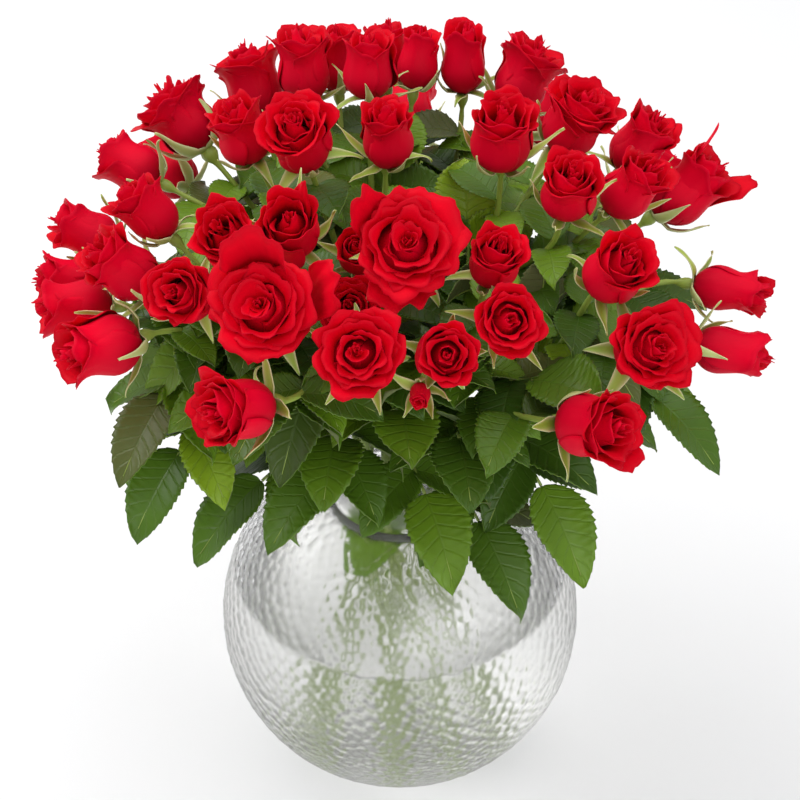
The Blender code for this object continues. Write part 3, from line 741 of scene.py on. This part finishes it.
def bloom_grids(across, tall, rng, loose=()):
    """The petals of a bloom from its heart outwards, with what each point tells its material."""
    openness = min(1.0, max(0.0, (across / tall - 0.6) / 0.6))
    count = int(round(12 + 14 * openness))
    hand = rng.choice([-1, 1])
    turn = rng.uniform(0, 2 * pi)
    grids, values = [], []
    for i in range(count):
        rank = i / (count - 1)
        turn += hand * GOLDEN_TURN + rng.normal(0, 0.10)
        out = across / 2 * (0.12 + 0.96 * rank**0.9)
        top = tall * (1.02 - (0.05 + 0.15 * openness) * rank + rng.normal(0, 0.03))
        wrap = radians(125 - (30 + 32 * openness) * rank)
        start = radians(18 + 50 * rank)
        close = radians(-16 + (4 + 14 * openness) * rank + rng.normal(0, 2))
        curl = radians((12 + 95 * rank**1.3) * (0.45 + 0.55 * openness) + rng.normal(0, 10))
        grids.append(petal_grid(turn, 0.0012 + 0.0018 * rank, out, top, wrap, start, close, curl,
                                0.84 - 0.22 * rank, 0.03 + 0.05 * rank, hand, rng))
        u, s = np.meshgrid(np.linspace(-1, 1, PETAL_COLUMNS), np.linspace(0, 1, PETAL_ROWS), indexing="ij")
        values.append(np.stack([u, s, np.full_like(u, 0.05 + 0.9 * rng.random())], -1))
    for angle, reach, lift, wrap, taper in loose:
        grids.append(petal_grid(angle, 0.003, across / 2 * reach, tall * lift, radians(wrap), radians(62),
                                radians(22), radians(45), 0.60, 0.02, hand, rng, taper))
        values.append(np.stack([u, s, np.full_like(u, 0.6)], -1))
    return np.array(grids), np.array(values)


velvet, nodes, links, shader = new_material("red petals")
told = nodes.new("ShaderNodeAttribute")
told.attribute_name = "petal"
parts = nodes.new("ShaderNodeSeparateXYZ")
links.new(told.outputs["Vector"], parts.inputs["Vector"])
outer = sum_node("LESS_THAN", parts.outputs["Z"], 1.0)
own = sum_node("FRACT", parts.outputs["Z"])
# Along each petal this colour ramp paints its lower part much darker, painted shade deep in the heart of the
# bloom, and darkens the very tip a little, the petal's own darker rim.
painted_shade_and_rim = nodes.new("ShaderNodeValToRGB")
painted_shade_and_rim.color_ramp.elements[0].color = (0.11, 0.0001, 0.003, 1)
painted_shade_and_rim.color_ramp.elements[1].color = (0.62, 0.0001, 0.012, 1)
for place, colour in ((0.50, (0.54, 0.0001, 0.008, 1)), (0.88, (0.90, 0.0002, 0.016, 1))):
    painted_shade_and_rim.color_ramp.elements.new(place).color = colour
links.new(parts.outputs["Y"], painted_shade_and_rim.inputs["Fac"])
red = mix_node(sum_node("MULTIPLY", own, 0.35), painted_shade_and_rim.outputs["Color"], (0.50, 0.0003, 0.010, 1))
red = mix_node(sum_node("MULTIPLY", outer, 0.45), red, (0.78, 0.0010, 0.040, 1))
blotches = mottled(red, (0.58, 0.0004, 0.010, 1), 0.35, 90)
links.new(blotches["Color"], shader.inputs["Base Color"])
shader.inputs["Roughness"].default_value = 0.52
shader.inputs["Specular IOR Level"].default_value = 0.07
shader.inputs["Sheen Weight"].default_value = 0.02
shader.inputs["Sheen Roughness"].default_value = 0.35
shader.inputs["Sheen Tint"].default_value = (1.0, 0.25, 0.38, 1)
bump = nodes.new("ShaderNodeBump")
bump.inputs["Strength"].default_value = 0.35
bump.inputs["Distance"].default_value = 0.0006
links.new(blotches["Height"], bump.inputs["Height"])
links.new(bump.outputs["Normal"], shader.inputs["Normal"])

# A few blooms are blown, with outer petals that have come loose: the way each one points, how far out and how
# high it reaches against the bloom, how far round it wraps in degrees, and how much it tapers.
LOOSE_PETALS = {
    "front_left_2": [((-0.05, 0.63, 0.78), 1.20, 1.42, 46, 0.22), ((1.0, 0.10, 0.20), 1.60, 1.05, 30, 0.44)],
    "front_4": [((-0.75, 0.42, 0.50), 1.14, 1.06, 32, 0.40), ((-0.2, -0.6, -0.7), 1.15, 0.66, 46, 0.30)],
    "right_back_3": [((-0.5, 0.5, 0.7), 0.95, 1.28, 34, 0.36), ((0.8, 0.1, -0.3), 1.25, 1.15, 36, 0.34)],
    "front_left_3": [((0.55, 0.5, 0.6), 1.05, 1.25, 32, 0.44)],
    "right_1": [((0.2, 0.2, -0.9), 1.15, 0.95, 40, 0.34)],
    "front_right_1": [((0.7, -0.3, -0.5), 1.20, 0.90, 40, 0.36)],
}
petal_outlines = {}
blooms = [head for spray in sprays for head in heads[spray]]
for number, (name, seat, axis, across, tall) in enumerate(blooms):
    rng = np.random.default_rng(number + 11)
    turn = np.array(axis.to_track_quat("Z", "X").to_matrix())
    loose = []
    for way, *shape in LOOSE_PETALS.get(name, ()):
        side, ahead, _ = np.array(way) @ turn
        loose.append((np.arctan2(ahead, side), *shape))
    grids, values = bloom_grids(across, tall, rng, loose)
    spread = np.hypot(grids[..., 0], grids[..., 1]).ravel()
    bins = np.clip(grids[..., 2].ravel() / tall * 12, 0, 11.99).astype(int)
    petal_outlines[name] = np.array([
        spread[bins <= k].max() if (bins <= k).any() else 0.003 for k in range(12)
    ])
    grids = grids @ turn.T + np.array(seat)
    points, faces, told_values = sheet_solids(grids, values, PETAL_THICKNESS)
    mesh = mesh_of("petals_" + name, points, faces, "petal", told_values)
    stands_for = ["bloom_" + name] if "bloom_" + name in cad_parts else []
    place_piece("petals_" + name, mesh, velvet, "petal", *stands_for)


# The sepals. Five long narrow green leaves grow from the rim of each hip. On a bud they lie along the petals,
# and as the bloom opens they spread and turn back. They are pale at the margins, and end in a fine point.
SEPAL_ROWS, SEPAL_COLUMNS = 16, 7

sepal_green, nodes, links, shader = new_material("green sepals")
told = nodes.new("ShaderNodeAttribute")
told.attribute_name = "sepal"
parts = nodes.new("ShaderNodeSeparateXYZ")
links.new(told.outputs["Vector"], parts.inputs["Vector"])
edge = sum_node("ABSOLUTE", parts.outputs["X"])
back = sum_node("GREATER_THAN", parts.outputs["Z"], 1.0)
body = mix_node(sum_node("FRACT", parts.outputs["Z"]), (0.22, 0.36, 0.030, 1), (0.42, 0.56, 0.075, 1))
body = mix_node(back, body, (0.50, 0.58, 0.20, 1))
links.new(mix_node(sum_node("MULTIPLY", sum_node("POWER", edge, 3.0), 0.8), body, (0.72, 0.72, 0.42, 1)),
          shader.inputs["Base Color"])
shader.inputs["Roughness"].default_value = 0.55
for number, spray in enumerate(sprays):
    rng = np.random.default_rng(number + 301)
    grids, values = [], []
    for name, seat, axis, across, tall in heads[spray]:
        openness = min(1.0, max(0.0, (across / tall - 0.6) / 0.6))
        size = min(1.12, max(0.75, across / 0.038))
        turn = np.array(axis.to_track_quat("Z", "X").to_matrix())
        outline = petal_outlines[name]
        for k in range(5):
            angle = k * radians(144) + rng.normal(0, 0.12)
            length = min(0.026, max(0.016, 0.66 * tall)) * rng.uniform(0.85, 1.15)
            style = rng.random() + 0.25 * openness
            bend = radians(-70 if style < 0.55 else (-15 if style < 0.85 else 65)) + rng.normal(0, 0.2)
            tip_bend = radians(rng.uniform(-10, 70))
            t = np.linspace(0, 1, SEPAL_ROWS)
            lean = radians(72) + bend * t**0.7 + tip_bend * np.clip((t - 0.6) / 0.4, 0, 1) ** 2
            out, up = 0.0030 * size, -0.0009
            path = []
            for turned_by in lean:
                path.append((out, up))
                out += sin(turned_by) * length / (SEPAL_ROWS - 1)
                up += cos(turned_by) * length / (SEPAL_ROWS - 1)
                if up > 0:
                    out = max(out, outline[min(11, int(up / tall * 12))] + 0.0006)
                elif up > -0.010:
                    out = max(out, 0.0046 * size)
            path = np.array(path)
            swell = 0.75 + 0.5 * np.sin(np.clip(t * 3, 0, 1) * pi / 2)
            half = (0.0037 * (1 - t) * swell + 0.00025) * size
            u = np.linspace(-1, 1, SEPAL_COLUMNS)
            away = np.stack([np.gradient(path[:, 1]), -np.gradient(path[:, 0])], -1)
            away /= np.linalg.norm(away, axis=1, keepdims=True)
            cup = -0.35 * half[:, None] * u**2 + 0.0006 * np.sin(t[:, None] * 9 + k) * u * t[:, None]
            radius = path[:, :1] + cup * away[:, :1]
            height = path[:, 1:] + cup * away[:, 1:]
            sideways = half[:, None] * u + rng.normal(0, 0.0016) * t[:, None] ** 2
            grid = np.stack([radius * cos(angle) - sideways * sin(angle),
                             radius * sin(angle) + sideways * cos(angle), height], -1)
            grids.append(grid @ turn.T + np.array(seat))
            told_t, told_u = np.meshgrid(t, u, indexing="ij")
            values.append(np.stack([told_u, told_t, np.full_like(told_u, rng.uniform(0.05, 0.95))], -1))
    points, faces, told_values = sheet_solids(np.array(grids), np.array(values), 0.0004)
    mesh = mesh_of("sepals_" + spray, points, faces, "sepal", told_values)
    place_piece("sepals_" + spray, mesh, sepal_green, "stem", "stem_" + spray)


# The set: a pale table, and the soft light of a white room.
table = bpy.data.meshes.new("table")
table.from_pydata([
    (-6, -6, -0.0005), (6, -6, -0.0005), (6, 8, -0.0005), (-6, 8, -0.0005),
], [], [(0, 1, 2, 3)])
table_top = bpy.data.objects.new("table", table)
bpy.context.scene.collection.objects.link(table_top)
paint, nodes, links, shader = new_material("white table")
shader.inputs["Base Color"].default_value = (0.84, 0.84, 0.845, 1)
shader.inputs["Roughness"].default_value = 0.7
table.materials.append(paint)

world = bpy.data.worlds.new("room")
world.use_nodes = True
backdrop = world.node_tree.nodes["Background"]
backdrop.inputs["Color"].default_value = (0.98, 0.99, 1.0, 1)
backdrop.inputs["Strength"].default_value = 0.55
bpy.context.scene.world = world


def window(name, place, aim, width, height, power):
    """A soft lamp as wide and high as a window, turned to what it lights."""
    light = bpy.data.lights.new(name, "AREA")
    light.shape = "RECTANGLE"
    light.size, light.size_y = width, height
    light.energy = power
    lamp = bpy.data.objects.new(name, light)
    lamp.location = place
    lamp.rotation_euler = (Vector(aim) - Vector(place)).to_track_quat("-Z", "Y").to_euler()
    bpy.context.scene.collection.objects.link(lamp)


window("ceiling", (0, 0.4, 2.6), (0, 0.4, 0), 3.4, 3.4, 45)
window("window_left", (-1.5, 0.5, 1.6), (0, 0, 0.25), 1.5, 1.2, 21)
window("window_front", (0.7, -1.7, 1.0), (0, 0, 0.2), 1.6, 1.0, 11)

camera = bpy.data.objects.new("camera", bpy.data.cameras.new("camera"))
bpy.context.scene.collection.objects.link(camera)
camera.data.lens = 90
camera.data.sensor_width = 36
camera.location = (0, -0.806, 0.895)
camera.rotation_euler = Vector((0, cos(radians(39)), -sin(radians(39)))).to_track_quat("-Z", "Y").to_euler()
bpy.context.scene.camera = camera
bpy.context.scene.view_settings.view_transform = "Standard"
